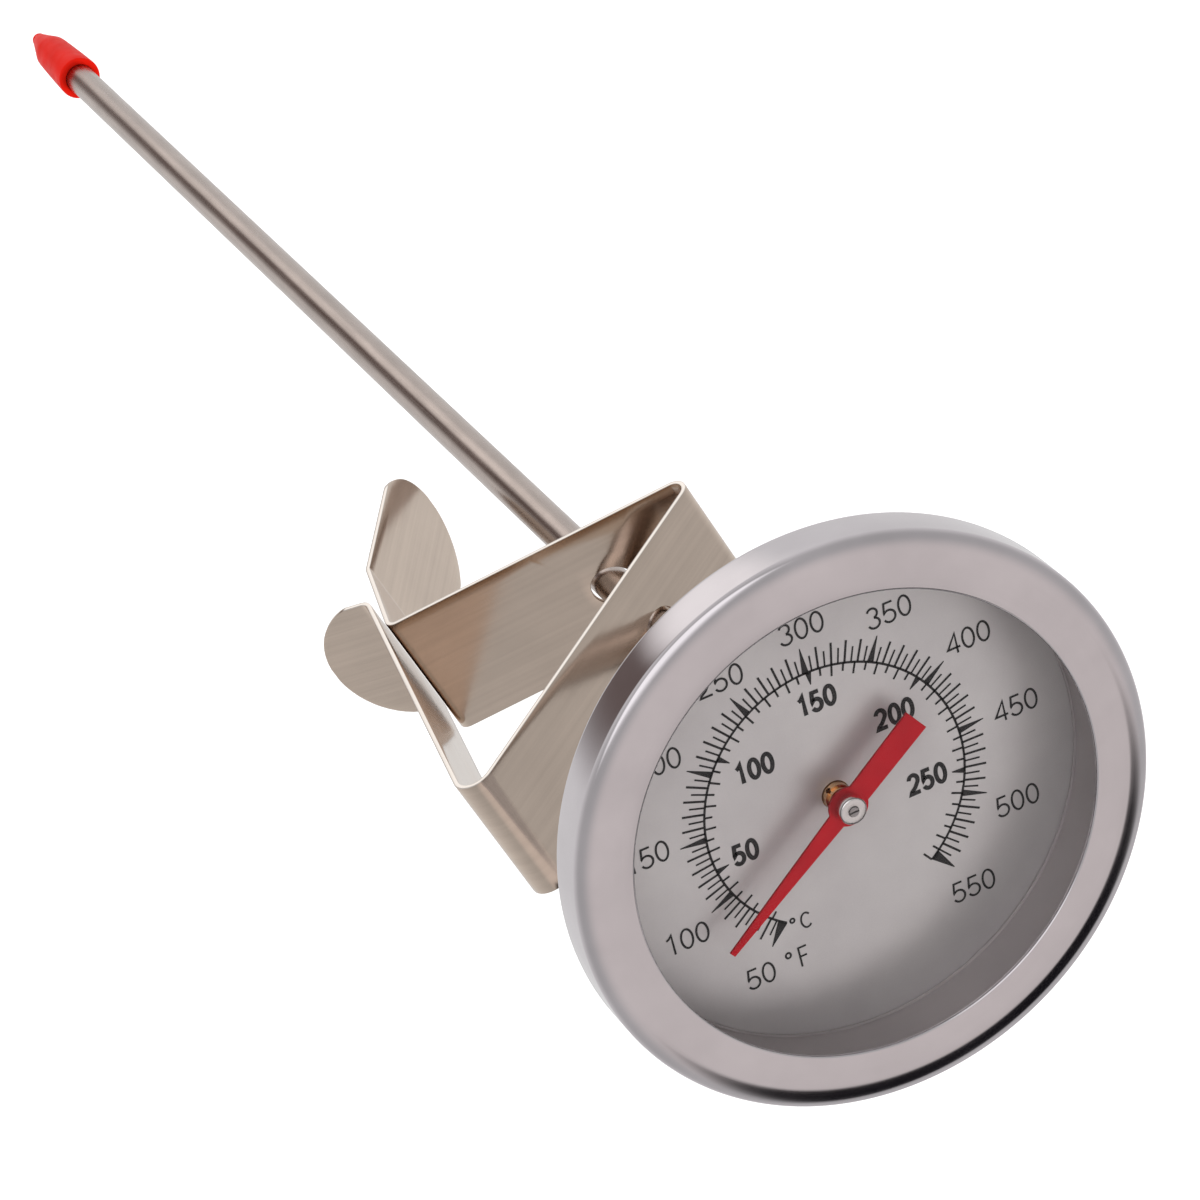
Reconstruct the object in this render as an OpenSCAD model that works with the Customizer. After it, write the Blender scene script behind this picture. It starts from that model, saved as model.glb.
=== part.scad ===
// Dial thermometer: a bimetal head with a long stem, a soft tip cap and a
// folded spring clip. Z runs along the stem, towards the face of the dial.
// The origin is on the stem's axis, at the back face of the case. +Y is the
// dial's 12 o'clock. Millimetres.

/* [Head] */
// Outer diameter of the bezel
bezel_d = 60.5; // [57.5:0.5:63]
// Diameter of the opening in the bezel's face
aperture_d = 48.8; // [46:0.2:49.6]
// Height of the bezel's rolled wall
bezel_h = 5.85; // [5.5:0.05:6.2]
// Depth of the dial face under the bezel's face
dial_recess = 7.9; // [7.4:0.05:8.5]
// Height of the dial face over the back of the case
case_depth = 4.8; // [4.4:0.1:6]
// Thickness of the pressed sheet
sheet_t = 0.5; // [0.4:0.05:0.5]
// Radius of the gentle curve at the edge of the bezel's face
bezel_crown_r = 5; // [4:0.5:6]
// Slope that the curve reaches, in degrees
bezel_crown_slope = 25; // [15:1:30]
// Outer radius of the corner between the curve and the wall
bezel_corner_r = 0.7; // [0.6:0.1:1.2]
// Thickness of the window
lens_t = 1.6; // [1.4:0.1:2]
// Diameter of the dial that shows inside the retaining ring
dial_d = 52; // [50.5:0.1:52.4]
// Thickness of the dial plate
plate_t = 0.4; // [0.3:0.1:0.6]

/* [Stem] */
// Outer diameter of the stem
stem_d = 4; // [3.8:0.1:4.2]
// Wall thickness of the stem
stem_wall = 0.4; // [0.3:0.05:0.5]
// Length of the stem behind the case
stem_l = 262.4; // [240:0.2:300]
// Length of the sensing helix
helix_l = 53; // [40:1:60]
// Number of turns in the sensing helix
helix_turns = 12; // [10:1:16]

/* [Pointer] */
// Temperature that the pointer shows, in degrees F
reading = 82; // [50:1:550]
// Distance from the axis to the pointer's tip
pointer_tip_r = 18.3; // [15:0.1:20]
// Distance from the axis to the end of the pointer's tail
pointer_tail_r = 10.65; // [8:0.05:12]
// Height of the pointer's underside over the dial
pointer_lift = 2.75; // [2.4:0.05:3.2]

/* [Tip cap] */
// Length of the cap
cap_l = 21.1; // [19:0.1:24]
// Diameter of the cap at its open end
cap_mouth_d = 5.9; // [5.6:0.1:7]
// Diameter of the cap where its cone starts
cap_shoulder_d = 4.9; // [4.9:0.1:5.4]
// Length of the cap's cone
cap_cone_l = 7.5; // [7:0.1:8]

/* [Clip] */
// Width of the spring strip
strip_w = 16; // [14:0.5:18]
// Thickness of the spring strip
strip_t = 0.5; // [0.4:0.05:0.5]
// Turn of the clip about the stem, in degrees
clip_turn = 17.9; // [0:0.1:90]
// Radius of the holes that the stem runs through
clip_hole_r = 2.3; // [2.2:0.05:2.6]
// Reach of the lip on the stem's side
inner_lip_l = 20.5; // [12:0.5:22]
// Reach of the lip on the outer side
outer_lip_l = 9.2; // [8.5:0.1:12]
// Opening of the jaws that the bend leaves room for, in degrees
jaw_opening = 12; // [6:1:12]

/* [Hidden] */
$fn = 96;

// Colours
steel = "silver";
brass = "goldenrod";
red = "crimson";

// Clearances
running = 0.05;   // radial gap of a shaft that turns in its bush
cap_gap = 0.03;   // radial gap between the stem and the tip cap
overlap = 0.02;   // how far the plug's shank reaches into its rounded end

// Levels of the head
dial_z = case_depth;
front_z = dial_z + dial_recess;
lens_top_z = front_z - sheet_t;
lens_z = lens_top_z - lens_t;
bezel_back_z = front_z - bezel_h;
flange_z = bezel_back_z + sheet_t;
gasket_z = flange_z + sheet_t;
plate_z = dial_z - plate_t;
step_z = plate_z - sheet_t;

// Radii of the head
bezel_r = bezel_d / 2;
wall_r = bezel_r - sheet_t;
retainer_r = dial_d / 2;
retainer_t = 0.35;
cup_r = retainer_r + retainer_t + running;
flange_r = wall_r - 0.2;
crown_start_r = bezel_r - bezel_corner_r - (bezel_crown_r - bezel_corner_r) * sin(bezel_crown_slope);
cup_step_r = 22.4;
cup_corner_r = 1.5;
plate_r = cup_r - 0.1;
hem_r = cup_r + sheet_t + 0.4;
hem_corner_r = 0.8;

// The dial's scale
scale_mid = 300;         // degrees F at 12 o'clock
scale_step = 0.57;       // degrees of turn for each degree F
pointer_turn = 90 - (reading - scale_mid) * scale_step;

// Stem and movement
stem_r = stem_d / 2;
stem_bore_r = stem_r - stem_wall;
fit_r = stem_bore_r - 0.02;
stem_top_z = plate_z - 1;
tube_end_z = -stem_l + stem_r;
spindle_r = 0.5;
bush_bore_r = spindle_r + running;
anchor_l = 6;
helix_z = tube_end_z + 4.4 + anchor_l;
helix_top_z = helix_z + helix_l;
helix_r = 1.35;
helix_t = 0.2;
helix_cover = 200;       // degrees of a turn that the ribbon takes up at one level
coupling_z = helix_top_z + 0.3;
coupling_l = 6;
lower_bush_z = coupling_z + coupling_l + 4;
bush_r = 1.4;             // the brass bush where it stands out of the dial
bush_top_z = dial_z + 1.3;
hub_z = bush_top_z + 0.2;
pointer_z = dial_z + pointer_lift;
pointer_t = 0.3;
pointer_top_z = pointer_z + pointer_t;
pointer_cap_h = 1.2;
pointer_cap_r = 1.45;
pointer_disc_r = 2.1;

// Tip cap
cap_tip_z = -stem_l - 6.8;
cap_mouth_z = cap_tip_z + cap_l;
cap_shoulder_z = cap_tip_z + cap_cone_l;
cap_nose_r = 1;

// Section of the clip in its own plane: x away from the stem, y along it.
// Each corner is where two straight legs would meet.
inner_corner = [-18.9, -73.3];
pinch_corner = [-21.5, -60.7];
fold_corner = [13.6, -46.3];
bend_corner = [-28, -22.9];
outer_corner = [-21.45, -67.6];
inner_lip_angle = -57;
outer_lip_angle = -141;
fold_r = 1.7;
pinch_r = 1.2;
bend_r = 2.2;
lip_r = 1.6;
inner_tip = inner_corner + inner_lip_l * [cos(inner_lip_angle), sin(inner_lip_angle)];
outer_tip = outer_corner + outer_lip_l * [cos(outer_lip_angle), sin(outer_lip_angle)];

// ---- Plane geometry of bent sheet ----

function unit(v) = v / norm(v);
function reversed(list) = [for (i = [len(list) - 1:-1:0]) list[i]];
function heading(a, b) = atan2(b[1] - a[1], b[0] - a[0]);

// Turn from leg a-b to leg b-c, positive to the left, within -180 to 180
function turn(a, b, c) = let (d = heading(b, c) - heading(a, b)) d - 360 * round(d / 360);

// Length that a corner's arc takes from each of its legs
function trim(a, b, c, r) = r * tan(abs(turn(a, b, c)) / 2);

// Centre of the arc in the corner a-b-c
function arc_centre(a, b, c, r) =
  let (h = heading(a, b), s = sign(turn(a, b, c)), start = b - trim(a, b, c, r) * unit(b - a))
  start + s * r * [-sin(h), cos(h)];

// The strip's side in the corner a-b-c, at distance `off` to the left, after the first `skip` degrees
function corner_side(a, b, c, r, off, skip = 0) =
  let (
    sweep = turn(a, b, c),
    s = sign(sweep),
    centre = arc_centre(a, b, c, r),
    first = heading(a, b) - 90 * s + skip * s,
    steps = ceil((abs(sweep) - skip) / 10)
  )
  [for (i = [0:steps])
    let (angle = first + (sweep - skip * s) * i / steps)
    centre + (r - s * off) * [cos(angle), sin(angle)]];

// The point `p` moved by `off` to the left of the leg a-b
function beside(p, a, b, off) = p + off * [-sin(heading(a, b)), cos(heading(a, b))];

// Both sides of a strip as one outline
function outline(left, right) = concat(left, reversed(right));

// Points of an arc between two angles, from the one numbered `first` on
function arc_points(centre, r, a0, a1, steps, first = 0) =
  [for (i = [first:steps]) let (a = a0 + (a1 - a0) * i / steps) centre + r * [cos(a), sin(a)]];

// Places children drawn in the XY plane into the clip's plane, which holds the stem's axis
module in_clip_plane() {
  rotate([0, 0, clip_turn]) rotate([90, 0, 0]) children();
}

// Cuts the half-round end of the lip that runs from a to its tip b
module lip_round(a, b) {
  end_r = strip_w / 2 + 0.3;
  translate([a[0], a[1], 0])
    rotate([0, 0, heading(a, b)])
      translate([norm(b - a) - end_r, 0, 0])
        rotate([90, 0, 0])
          difference() {
            translate([0, -strip_w, -2]) cube([2 * end_r, 2 * strip_w, 4]);
            translate([0, 0, -3]) cylinder(r = end_r, h = 6);
          }
}

// Disc or ring between two levels
module ring(r_out, r_in, z0, z1) {
  translate([0, 0, z0])
    difference() {
      cylinder(r = r_out, h = z1 - z0);
      if (r_in > 0) translate([0, 0, -1]) cylinder(r = r_in, h = z1 - z0 + 2);
    }
}

// Quarter of a ring in the plane, from start_angle on, used for rounded sheet corners
module quarter(r_out, r_in, start_angle) {
  intersection() {
    difference() {
      circle(r = r_out);
      if (r_in > 0) circle(r = r_in);
    }
    rotate(start_angle) square(r_out + 1);
  }
}

// ---- Head ----

// One side of the bezel's sheet, `depth` in from the outside
function bezel_side(depth) =
  let (
    bend = 90 - bezel_crown_slope,
    crown_centre = [crown_start_r, front_z - bezel_crown_r],
    corner_centre = crown_centre + (bezel_crown_r - bezel_corner_r) * [cos(bend), sin(bend)],
    hem_centre = [bezel_r - hem_corner_r, bezel_back_z + hem_corner_r]
  )
  concat(
    [[aperture_d / 2, front_z - depth]],
    arc_points(crown_centre, bezel_crown_r - depth, 90, bend, 8),
    arc_points(corner_centre, bezel_corner_r - depth, bend, 0, 6, 1),
    arc_points(hem_centre, hem_corner_r - depth, 0, -90, 6),
    [[hem_r, bezel_back_z + depth]]
  );

module bezel_ring() {
  color(steel) rotate_extrude() polygon(outline(bezel_side(0), bezel_side(sheet_t)));
}

module glass_lens() {
  edge_drop = 1;
  lens_r = wall_r - 0.1;
  color([0.8, 0.9, 0.95, 0.3])
    rotate_extrude()
      polygon([
        [0, lens_z], [lens_r, lens_z], [lens_r, lens_top_z - edge_drop],
        [crown_start_r, lens_top_z], [0, lens_top_z]
      ]);
}

module lens_gasket() {
  color("dimgray") ring(flange_r, cup_r + 0.1, gasket_z, lens_z);
}

module dial_retainer() {
  color("gray") ring(retainer_r + retainer_t, retainer_r, dial_z, lens_z);
}

module dial_plate() {
  color("gainsboro") ring(plate_r, bush_r + 0.1, plate_z, dial_z);
}

module case_cup() {
  corner_in_r = cup_corner_r - sheet_t;
  color(steel)
    rotate_extrude() {
      translate([stem_r, 0])
        square([cup_step_r - cup_corner_r - stem_r, sheet_t]);
      translate([cup_step_r - cup_corner_r, cup_corner_r])
        quarter(cup_corner_r, corner_in_r, -90);
      translate([cup_step_r - sheet_t, cup_corner_r])
        square([sheet_t, plate_z - cup_corner_r]);
      translate([cup_step_r - sheet_t, step_z])
        square([cup_r + 2 * sheet_t - cup_step_r, sheet_t]);
      translate([cup_r, step_z])
        square([sheet_t, gasket_z - step_z]);
      translate([cup_r, flange_z])
        square([flange_r - cup_r, sheet_t]);
    }
}

// ---- Stem and movement ----

module stem_collar() {
  collar_r = 3.4;
  collar_l = 3;
  color(steel)
    rotate_extrude()
      polygon([
        [stem_r, 0], [collar_r, 0], [collar_r, -collar_l + 0.8],
        [collar_r - 0.8, -collar_l], [stem_r, -collar_l]
      ]);
}

module stem_washer() {
  color(steel) ring(4.5, stem_r, sheet_t, sheet_t + 0.8);
}

module stem_tube() {
  color(steel) ring(stem_r, stem_bore_r, tube_end_z, stem_top_z);
}

module guide_bush() {
  color(brass)
    difference() {
      union() {
        ring(fit_r, 0, stem_top_z - 6, stem_top_z);
        ring(stem_r + 0.2, 0, stem_top_z, plate_z - 0.1);
        ring(bush_r, 0, plate_z - 0.1, bush_top_z - 0.5);
        ring(bush_r - 0.2, 0, bush_top_z - 0.5, bush_top_z);
      }
      ring(bush_bore_r, 0, stem_top_z - 7, bush_top_z + 1);
      side_hole();
    }
}

// Small hole across the side of the brass bush
module side_hole() {
  translate([0, 0, bush_top_z - 0.75])
    rotate([0, 90, 128])
      cylinder(r = 0.3, h = 3);
}

module lower_bush() {
  color("ivory") ring(fit_r, bush_bore_r, lower_bush_z, lower_bush_z + 5);
}

module bimetal_helix() {
  inner_r = helix_r - helix_t;
  facets = 4;
  outer_arc = [for (i = [0:facets]) helix_r * [cos(i * helix_cover / facets), sin(i * helix_cover / facets)]];
  inner_arc = [for (i = [facets:-1:0]) inner_r * [cos(i * helix_cover / facets), sin(i * helix_cover / facets)]];
  color("darkgoldenrod")
    translate([0, 0, helix_z])
      linear_extrude(height = helix_l, twist = 360 * helix_turns, slices = 12 * helix_turns, $fn = 12)
        polygon(concat(outer_arc, inner_arc));
}

module helix_anchor() {
  color(brass)
    union() {
      ring(1.1, 0, helix_z - anchor_l, helix_z - 1);
      ring(1.4, 0, helix_z - 1, helix_z);
    }
}

module stem_plug() {
  color(steel)
    union() {
      intersection() {
        translate([0, 0, tube_end_z]) sphere(r = stem_r);
        translate([0, 0, tube_end_z - stem_r]) cube([2 * stem_d, 2 * stem_d, 2 * stem_r], center = true);
      }
      difference() {
        ring(fit_r, 0, tube_end_z - overlap, helix_z - anchor_l + 2);
        ring(1.1, 0, helix_z - anchor_l, helix_z);
      }
    }
}

module spindle() {
  slot_w = 0.2;
  top_z = pointer_top_z + pointer_cap_h + 0.1;
  color("darkgray")
    difference() {
      ring(spindle_r, 0, coupling_z + 2, top_z);
      translate([-spindle_r - 1, -slot_w / 2, top_z - 0.3])
        cube([2 * spindle_r + 2, slot_w, 1]);
    }
}

module helix_coupling() {
  color(brass) ring(1.15, spindle_r, coupling_z, coupling_z + coupling_l);
}

// ---- Pointer ----

module pointer_hub() {
  color(brass) ring(0.95, spindle_r, hub_z, pointer_z);
}

module pointer() {
  tip_w = 0.65;
  blade_w = 2.1;
  tail_near_w = 2.5;
  tail_end_w = 2.85;
  color(red)
    translate([0, 0, pointer_z])
      rotate([0, 0, pointer_turn])
        linear_extrude(pointer_t)
          difference() {
            union() {
              circle(r = pointer_disc_r);
              polygon([
                [0, blade_w / 2], [0, -blade_w / 2],
                [pointer_tip_r, -tip_w / 2], [pointer_tip_r, tip_w / 2]
              ]);
              polygon([
                [0, -tail_near_w / 2], [0, tail_near_w / 2],
                [-pointer_tail_r, tail_end_w / 2], [-pointer_tail_r, -tail_end_w / 2]
              ]);
            }
            circle(r = spindle_r);
          }
}

module pointer_cap() {
  edge_r = 0.3;
  color("whitesmoke")
    translate([0, 0, pointer_top_z])
      rotate_extrude()
        polygon([
          [spindle_r, 0], [pointer_cap_r, 0], [pointer_cap_r, pointer_cap_h - edge_r],
          [pointer_cap_r - edge_r, pointer_cap_h], [spindle_r, pointer_cap_h]
        ]);
}

// ---- Tip cap ----

module tip_cap() {
  bore_r = stem_r + cap_gap;
  edge_r = 0.45;
  edge_x = cap_mouth_d / 2 - edge_r;
  edge_z = cap_mouth_z - edge_r;
  nose_z = cap_tip_z + cap_nose_r;
  rim = [for (a = [90:-15:0]) [edge_x + edge_r * cos(a), edge_z + edge_r * sin(a)]];
  nose = [for (a = [-15:-15:-90]) [cap_nose_r * cos(a), nose_z + cap_nose_r * sin(a)]];
  color("red")
    difference() {
      rotate_extrude()
        polygon(concat([[0, cap_mouth_z]], rim, [[cap_shoulder_d / 2, cap_shoulder_z]], nose));
      ring(bore_r, 0, tube_end_z, cap_mouth_z + 1);
      translate([0, 0, tube_end_z]) sphere(r = bore_r);
    }
}

// ---- Clip ----

module stem_hole() {
  translate([0, 0, -70]) cylinder(r = clip_hole_r, h = 60);
}

module clip_stem_arm() {
  bend_trim = trim(fold_corner, bend_corner, outer_corner, bend_r);
  arm_end = bend_corner - bend_trim * unit(bend_corner - fold_corner);
  sides = [for (off = [strip_t / 2, -strip_t / 2])
    concat(
      [beside(inner_tip, inner_tip, inner_corner, off)],
      corner_side(inner_tip, inner_corner, pinch_corner, lip_r, off),
      corner_side(inner_corner, pinch_corner, fold_corner, pinch_r, off),
      corner_side(pinch_corner, fold_corner, bend_corner, fold_r, off),
      [beside(arm_end, fold_corner, bend_corner, off)]
    )];
  color(steel)
    difference() {
      in_clip_plane()
        difference() {
          translate([0, 0, -strip_w / 2])
            linear_extrude(strip_w) polygon(outline(sides[0], sides[1]));
          lip_round(inner_corner, inner_tip);
        }
      stem_hole();
    }
}

module clip_jaw_arm() {
  sides = [for (off = [strip_t / 2, -strip_t / 2])
    concat(
      corner_side(fold_corner, bend_corner, outer_corner, bend_r, off, jaw_opening + 2),
      corner_side(bend_corner, outer_corner, outer_tip, lip_r, off),
      [beside(outer_tip, outer_corner, outer_tip, off)]
    )];
  color("gainsboro")
    in_clip_plane()
      difference() {
        translate([0, 0, -strip_w / 2])
          linear_extrude(strip_w) polygon(outline(sides[0], sides[1]));
        lip_round(outer_corner, outer_tip);
      }
}

bezel_ring();
glass_lens();
lens_gasket();
dial_retainer();
dial_plate();
case_cup();
stem_collar();
stem_washer();
stem_tube();
guide_bush();
lower_bush();
bimetal_helix();
helix_anchor();
stem_plug();
spindle();
pointer_hub();
pointer();
pointer_cap();
helix_coupling();
tip_cap();
clip_stem_arm();
clip_jaw_arm();
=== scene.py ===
import math

import bmesh
import bpy
from mathutils import Matrix, Vector


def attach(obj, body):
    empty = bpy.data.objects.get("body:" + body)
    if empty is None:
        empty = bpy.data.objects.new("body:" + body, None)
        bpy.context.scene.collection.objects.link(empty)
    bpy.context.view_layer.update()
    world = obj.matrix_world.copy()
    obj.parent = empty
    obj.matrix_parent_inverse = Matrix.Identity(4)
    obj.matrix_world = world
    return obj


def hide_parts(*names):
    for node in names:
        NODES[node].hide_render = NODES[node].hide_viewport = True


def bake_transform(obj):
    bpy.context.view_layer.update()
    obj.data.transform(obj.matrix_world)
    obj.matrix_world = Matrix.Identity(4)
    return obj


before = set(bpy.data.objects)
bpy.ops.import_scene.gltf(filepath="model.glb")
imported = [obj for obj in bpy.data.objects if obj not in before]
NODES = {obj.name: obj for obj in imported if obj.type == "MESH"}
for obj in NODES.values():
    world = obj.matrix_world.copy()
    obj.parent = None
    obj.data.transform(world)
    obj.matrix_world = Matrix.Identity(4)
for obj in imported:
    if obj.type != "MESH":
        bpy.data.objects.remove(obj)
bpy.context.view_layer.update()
MM = 0.001
THERMO, POINTER, CLIP, JAW, CAP = "thermometer", "pointer_set", "clip", "clip_jaw", "cap"

# Sizes in millimetres, in the part's frame
BEZEL_R, APERTURE_R, FRONT_Z, BEZEL_BACK_Z, SHEET = 30.25, 24.4, 12.7, 6.85, 0.5
CROWN_R, CROWN_SLOPE, CORNER_R, HEM_R = 5.0, 25.0, 0.7, 0.8
CROWN_START_R = BEZEL_R - CORNER_R - (CROWN_R - CORNER_R) * math.sin(math.radians(CROWN_SLOPE))
DIAL_Z, DIAL_R, LENS_TOP, LENS_BOTTOM = 4.8, 26.0, 12.2, 10.6
POINTER_Z, POINTER_T = 7.55, 0.3
STEM_R, TUBE_END_Z, CAP_TIP_Z, CAP_L = 2.0, -260.4, -269.2, 21.1
STRIP_W, STRIP_T, HOLE_R = 16.0, 0.5, 2.3

# The scale: degrees of turn for one degree F, the temperature at the top and the one the pointer rests at
DEG_PER_F, MID_F, REST_F = 0.57, 300.0, 82.0


# ------------------------------------------------------------------ materials
GRAIN_DEPTH = 0.00002


class Nodes:
    """The node tree of a new material or of the given world, with short calls for the nodes used here."""

    def __init__(self, name, world=None):
        self.owner = world or bpy.data.materials.new(name)
        self.owner.use_nodes = True
        self.tree = self.owner.node_tree
        self.tree.nodes.clear()
        self.out = self.tree.nodes.new("ShaderNodeOutputWorld" if world else "ShaderNodeOutputMaterial")

    def add(self, kind, **props):
        node = self.tree.nodes.new(kind)
        for key, value in props.items():
            setattr(node, key, value)
        return node

    def feed(self, socket, value):
        if isinstance(value, bpy.types.NodeSocket):
            self.tree.links.new(value, socket)
        else:
            socket.default_value = value

    def math(self, op, a, b=None):
        node = self.add("ShaderNodeMath", operation=op)
        for i, value in enumerate((a, b)):
            if value is not None:
                self.feed(node.inputs[i], value)
        return node.outputs[0]

    def vector(self, x, y, z):
        node = self.add("ShaderNodeCombineXYZ")
        for i, value in enumerate((x, y, z)):
            self.feed(node.inputs[i], value)
        return node.outputs[0]

    def split(self, vector):
        node = self.add("ShaderNodeSeparateXYZ")
        self.feed(node.inputs[0], vector)
        return node.outputs

    def coords(self):
        return self.add("ShaderNodeTexCoord").outputs["Object"]

    def noise(self, vector, scale=1.0, detail=2.0, rough=0.5, w=None):
        node = self.add("ShaderNodeTexNoise", noise_dimensions="3D" if w is None else "4D")
        self.feed(node.inputs["Vector"], vector)
        if w is not None:
            self.feed(node.inputs["W"], w)
        node.inputs["Scale"].default_value = scale
        node.inputs["Detail"].default_value = detail
        node.inputs["Roughness"].default_value = rough
        return node.outputs["Fac"]

    def spread(self, value, low, high, to_low, to_high, smooth=False):
        node = self.add("ShaderNodeMapRange")
        node.interpolation_type = "SMOOTHSTEP" if smooth else "LINEAR"
        for i, v in enumerate((value, low, high, to_low, to_high)):
            self.feed(node.inputs[i], v)
        return node.outputs[0]

    def blend(self, fac, a, b):
        node = self.add("ShaderNodeMix", data_type="RGBA")
        self.feed(node.inputs[0], fac)
        for socket, value in ((node.inputs[6], a), (node.inputs[7], b)):
            if isinstance(value, tuple) and len(value) == 3:
                value = (*value, 1.0)
            self.feed(socket, value)
        return node.outputs[2]

    def bump(self, height, strength, distance):
        node = self.add("ShaderNodeBump")
        node.inputs["Strength"].default_value = strength
        node.inputs["Distance"].default_value = distance
        self.feed(node.inputs["Height"], height)
        return node.outputs["Normal"]

    def principled(self, color, rough, metallic=0.0, normal=None, **more):
        node = self.add("ShaderNodeBsdfPrincipled")
        if isinstance(color, tuple) and len(color) == 3:
            color = (*color, 1.0)
        self.feed(node.inputs["Base Color"], color)
        self.feed(node.inputs["Roughness"], rough)
        node.inputs["Metallic"].default_value = metallic
        if normal is not None:
            self.feed(node.inputs["Normal"], normal)
        for key, value in more.items():
            self.feed(node.inputs[key.replace("_", " ")], value)
        return node.outputs[0]

    def done(self, shader):
        self.tree.links.new(shader, self.out.inputs["Surface"])
        return self.owner


def tint(color, k):
    return tuple(c * k for c in color)


def round_lines(n, per_mm, round_scale):
    """Fine lines that run round the Z axis, as a polished turned face has."""
    x, y, z = n.split(n.coords())[:3]
    r = n.math("SQRT", n.math("ADD", n.math("MULTIPLY", x, x), n.math("MULTIPLY", y, y)))
    safe = n.math("MAXIMUM", r, 1e-5)
    across = n.math("ADD", n.math("MULTIPLY", r, per_mm / MM), n.math("MULTIPLY", z, per_mm / MM))
    around = n.vector(n.math("DIVIDE", x, safe), n.math("DIVIDE", y, safe), 0.0)
    return n.noise(around, round_scale, 2.0, 0.6, across)


def long_lines(n, around_scale, per_mm_z):
    """Fine lines that run along the Z axis, as a drawn tube has."""
    x, y, z = n.split(n.coords())[:3]
    v = n.vector(n.math("MULTIPLY", x, around_scale / MM), n.math("MULTIPLY", y, around_scale / MM),
                 n.math("MULTIPLY", z, per_mm_z / MM))
    return n.noise(v, 1.0, 3.0, 0.6)


def turned_metal(name, color, rough, spread=0.08, lines=6.0, metallic=1.0, bump=0.02):
    n = Nodes(name)
    fine = round_lines(n, lines, 2.0)
    broad = n.noise(n.coords(), 110.0, 3.0, 0.55)
    mixed = n.math("ADD", n.math("MULTIPLY", fine, 0.6), n.math("MULTIPLY", broad, 0.4))
    col = n.blend(n.spread(broad, 0.3, 0.7, 0.0, 1.0), tint(color, 0.93), tint(color, 1.05))
    ro = n.spread(mixed, 0.3, 0.7, rough - spread, rough + spread)
    return n.done(n.principled(col, ro, metallic, n.bump(fine, bump, GRAIN_DEPTH)))


def drawn_metal(name, color, rough):
    n = Nodes(name)
    fine = long_lines(n, 5.0, 0.05)
    broad = long_lines(n, 0.5, 0.12)
    specks = n.noise(n.coords(), 2600.0, 2.0, 0.5)
    col = n.blend(n.spread(broad, 0.3, 0.7, 0.0, 1.0), tint(color, 0.86), tint(color, 1.06))
    ro = n.spread(n.math("ADD", n.math("MULTIPLY", fine, 0.7), n.math("MULTIPLY", specks, 0.3)), 0.3, 0.7,
                  rough - 0.08, rough + 0.1)
    return n.done(n.principled(col, ro, 1.0, n.bump(fine, 0.05, GRAIN_DEPTH)))


def strip_metal(name, color, rough, edge):
    """Rolled spring strip: fine lines along its length, and a painted highlight (a lighter colour) along its
    edges, `edge` from its middle line.
    Both are read from the strip's own UV map, in millimetres."""
    n = Nodes(name)
    uv = n.add("ShaderNodeUVMap", uv_map="strip").outputs[0]
    u, v = n.split(uv)[:2]
    fine = n.noise(n.vector(n.math("MULTIPLY", u, 0.035), n.math("MULTIPLY", v, 9.0), 0.0), 1.0, 4.0, 0.65)
    streak = n.noise(n.vector(n.math("MULTIPLY", u, 0.012), n.math("MULTIPLY", v, 1.1), 3.0), 1.0, 3.0, 0.6)
    cloud = n.noise(n.vector(u, v, 7.0), 0.09, 3.0, 0.55)
    tone = n.math("ADD", n.math("MULTIPLY", streak, 0.5), n.math("MULTIPLY", cloud, 0.5))
    col = n.blend(n.spread(tone, 0.32, 0.68, 0.0, 1.0), tint(color, 0.88), tint(color, 1.06))
    scratch = n.spread(fine, 0.64, 0.74, 0.0, 1.0)
    col = n.blend(n.math("MULTIPLY", scratch, 0.35), col, tint(color, 0.45))
    # painted highlight: a lighter colour along both edges of the strip stands in for the bright line that light
    # draws on them
    painted_edge_highlight = n.spread(n.math("ABSOLUTE", v), edge - 0.08, edge - 0.02, 0.0, 1.0)
    col = n.blend(painted_edge_highlight, col, (0.82, 0.765, 0.71))
    ro = n.spread(n.math("ADD", n.math("MULTIPLY", fine, 0.6), n.math("MULTIPLY", cloud, 0.4)), 0.3, 0.7,
                  rough - 0.06, rough + 0.09)
    return n.done(n.principled(col, ro, 1.0, n.bump(fine, 0.10, GRAIN_DEPTH)))


def painted(name, color, rough, grain=1500.0, strength=0.05, **more):
    n = Nodes(name)
    grain_fac = n.noise(n.coords(), grain, 3.0, 0.55)
    broad = n.noise(n.coords(), grain / 9, 2.0, 0.5)
    col = n.blend(n.spread(broad, 0.3, 0.7, 0.0, 1.0), tint(color, 0.86), tint(color, 1.1))
    ro = n.spread(grain_fac, 0.3, 0.7, max(rough - 0.07, 0.02), rough + 0.07)
    return n.done(n.principled(col, ro, 0.0, n.bump(grain_fac, strength, GRAIN_DEPTH), **more))


def dial_metal(name):
    """Satin silver plate: fine grain, faint cloudiness."""
    n = Nodes(name)
    grain = n.noise(n.coords(), 5200.0, 2.0, 0.6)
    cloud = n.noise(n.coords(), 140.0, 3.0, 0.5)
    col = n.blend(n.spread(cloud, 0.3, 0.7, 0.0, 1.0), (0.627, 0.612, 0.612), (0.684, 0.672, 0.666))
    ro = n.spread(grain, 0.3, 0.7, 0.42, 0.58)
    return n.done(n.principled(col, ro, 0.6, n.bump(grain, 0.05, GRAIN_DEPTH)))


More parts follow.
